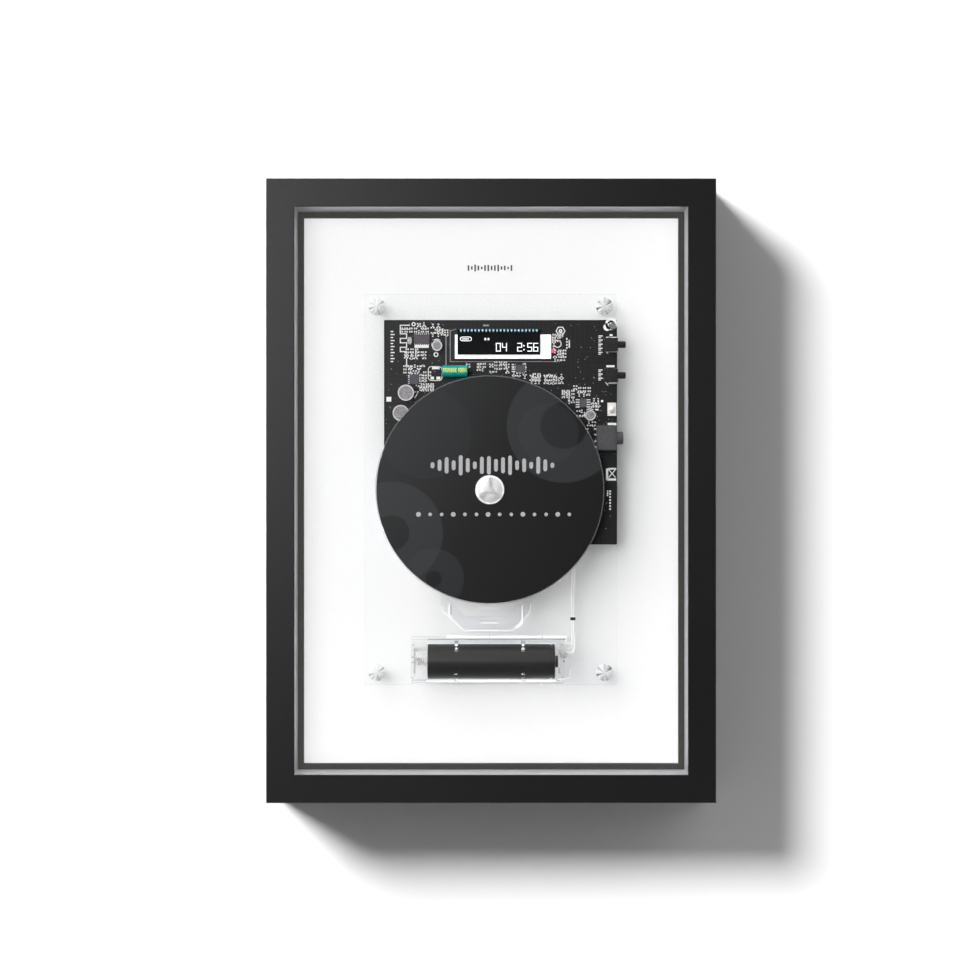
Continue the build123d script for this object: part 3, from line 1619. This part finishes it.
def coil_point(turn_angle):
    """Point of the coil at an angle in radians from its start."""
    along = coil_start + coil_pitch * turn_angle / (2 * math.pi)
    return Vector(
        along,
        -cell_height + spring_coil_radius * math.cos(turn_angle),
        cell_z + spring_coil_radius * math.sin(turn_angle),
    )


def coil_direction(turn_angle):
    """Unit tangent of the coil at an angle in radians from its start."""
    return Vector(
        coil_pitch / (2 * math.pi),
        -spring_coil_radius * math.sin(turn_angle),
        spring_coil_radius * math.cos(turn_angle),
    ).normalized()


def biarc(start, start_direction, end, end_direction):
    """Two tangent arcs from one point and direction to another, in the current line."""
    chord = end - start
    lean = start_direction + end_direction
    spread = 2 * (1 - start_direction.dot(end_direction))
    reach = math.sqrt(chord.dot(lean) ** 2 + spread * chord.dot(chord)) - chord.dot(lean)
    reach = reach / spread
    first_control = start + start_direction * reach
    second_control = end - end_direction * reach
    joint = (first_control + second_control) * 0.5
    TangentArc(start, joint, tangent=start_direction)
    TangentArc(joint, end, tangent=second_control - first_control)


along_axis = Vector(1, 0, 0)
quarter = math.pi / 2
coil_angles = [lead_in_angle + quarter * step for step in range(4 * spring_turns)]
coil_end_angle = coil_angles[-1] + lead_in_angle
first_end = Vector(spring_left, coil_point(0).Y, coil_point(0).Z)
first_bend = first_end + along_axis * spring_end
last_end = Vector(spring_right, coil_point(coil_end_angle).Y, coil_point(coil_end_angle).Z)
last_bend = last_end - along_axis * spring_end
with BuildPart() as contact_spring:
    with BuildLine() as spring_path:
        Line(first_end, first_bend)
        biarc(first_bend, along_axis, coil_point(coil_angles[0]), coil_direction(coil_angles[0]))
        for low, high in zip(coil_angles, coil_angles[1:]):
            biarc(coil_point(low), coil_direction(low), coil_point(high), coil_direction(high))
        biarc(coil_point(coil_angles[-1]), coil_direction(coil_angles[-1]), last_bend, along_axis)
        Line(last_bend, last_end)
    with BuildSketch(Plane(origin=first_end, z_dir=along_axis)):
        Circle(spring_wire_radius)
    sweep()
contact_spring.part.label = "contact_spring"
export_step(contact_spring.part, "parts/contact_spring.step")

spring_samples = 400
spring_wire = spring_path.wire()
spring_points = [spring_wire.position_at(step / spring_samples) for step in range(spring_samples + 1)]
spring_step = spring_wire.length / spring_samples
spring_apart = math.ceil(math.pi * spring_coil_radius / spring_step)
spring_gap = min(
    (spring_points[late] - spring_points[early]).length
    for early in range(len(spring_points))
    for late in range(early + spring_apart, len(spring_points))
)
print("contact spring, least gap to itself", round(spring_gap - 2 * spring_wire_radius, 3))

# Twin lead from the contacts up to the board, and the sleeve that gathers it. The tops are
# given by their rise above the board's lower edge.
lead_start_x = holder_right_wall_x + contact_tab_length
lead_routes = (
    (
        (lead_start_x, strip_z, 21.96),
        (41.9, -83.2, 21.98),
        (42.75, -82.0, 21.9),
        (42.9, -79.4, 21.5),
        (42.65, -75.0, 20.6),
        (42.6, -69.5, 20.7),
        (42.6, -65.5, 20.7),
        (42.45, -57.0, 20.6),
        (42.7, -47.0, 20.6),
    ),
    (
        (lead_start_x, tab_z, 21.96),
        (42.4, -86.2, 21.98),
        (43.75, -84.9, 21.9),
        (44.15, -81.6, 21.5),
        (43.8, -75.6, 20.6),
        (43.62, -69.5, 20.7),
        (43.62, -65.5, 20.7),
        (43.65, -57.0, 20.6),
        (44.05, -47.0, 20.6),
    ),
)
lead_tops = (
    (
        (42.6, -11.2, 20.75),
        (42.65, -6.2, 22.3),
        (42.6, -2.1, 24.3),
        (42.6, 3.3, 23.5),
    ),
    (
        (44.0, -11.2, 20.75),
        (44.1, -6.2, 22.3),
        (44.0, -2.1, 24.3),
        (44.1, 3.3, 23.5),
    ),
)


def corner_radii(points):
    """Radius at each inner point, as large as its two runs allow."""
    radii = []
    for before, here, after in zip(points, points[1:], points[2:]):
        run_in = here - before
        run_out = after - here
        half_turn = math.radians(run_in.get_angle(run_out)) / 2
        reach = lead_bend_share * min(run_in.length, run_out.length)
        radii.append(reach / math.tan(half_turn))
    return radii


with BuildPart() as cell_lead:
    for route, tops in zip(lead_routes, lead_tops):
        points = [Vector(x, -height, z) for x, z, height in route]
        points += [Vector(x, -height, circuit_bottom + rise) for x, rise, height in tops]
        radii = corner_radii(points)
        print("lead radii", [round(radius, 1) for radius in radii])
        with BuildLine() as lead_path:
            FilletPolyline(*points, radius=radii)
        with BuildSketch(Plane(origin=points[0], z_dir=points[1] - points[0])):
            Circle(lead_radius)
        sweep(path=lead_path)
        expected = math.pi * lead_radius**2 * lead_path.wire().length
        print("lead volume to expected", round(expected, 3))
print("lead volume", round(cell_lead.part.volume, 3))
cell_lead.part.label = "cell_lead"
export_step(cell_lead.part, "parts/cell_lead.step")

sleeve_x = [route[5][0] for route in lead_routes]
sleeve_height = lead_routes[0][5][2]
with BuildPart() as lead_sleeve:
    with BuildSketch(Plane.XY.offset(lead_sleeve_z - lead_sleeve_length / 2)):
        with Locations((sum(sleeve_x) / 2, -sleeve_height)):
            Rectangle(
                sleeve_x[1] - sleeve_x[0] + 2 * (lead_radius + lead_sleeve_wall),
                2 * lead_radius + lead_sleeve_wall,
            )
        with Locations(*[(x, -sleeve_height) for x in sleeve_x]):
            Circle(lead_radius, mode=Mode.SUBTRACT)
    extrude(amount=lead_sleeve_length)
lead_sleeve.part.label = "lead_sleeve"
export_step(lead_sleeve.part, "parts/lead_sleeve.step")
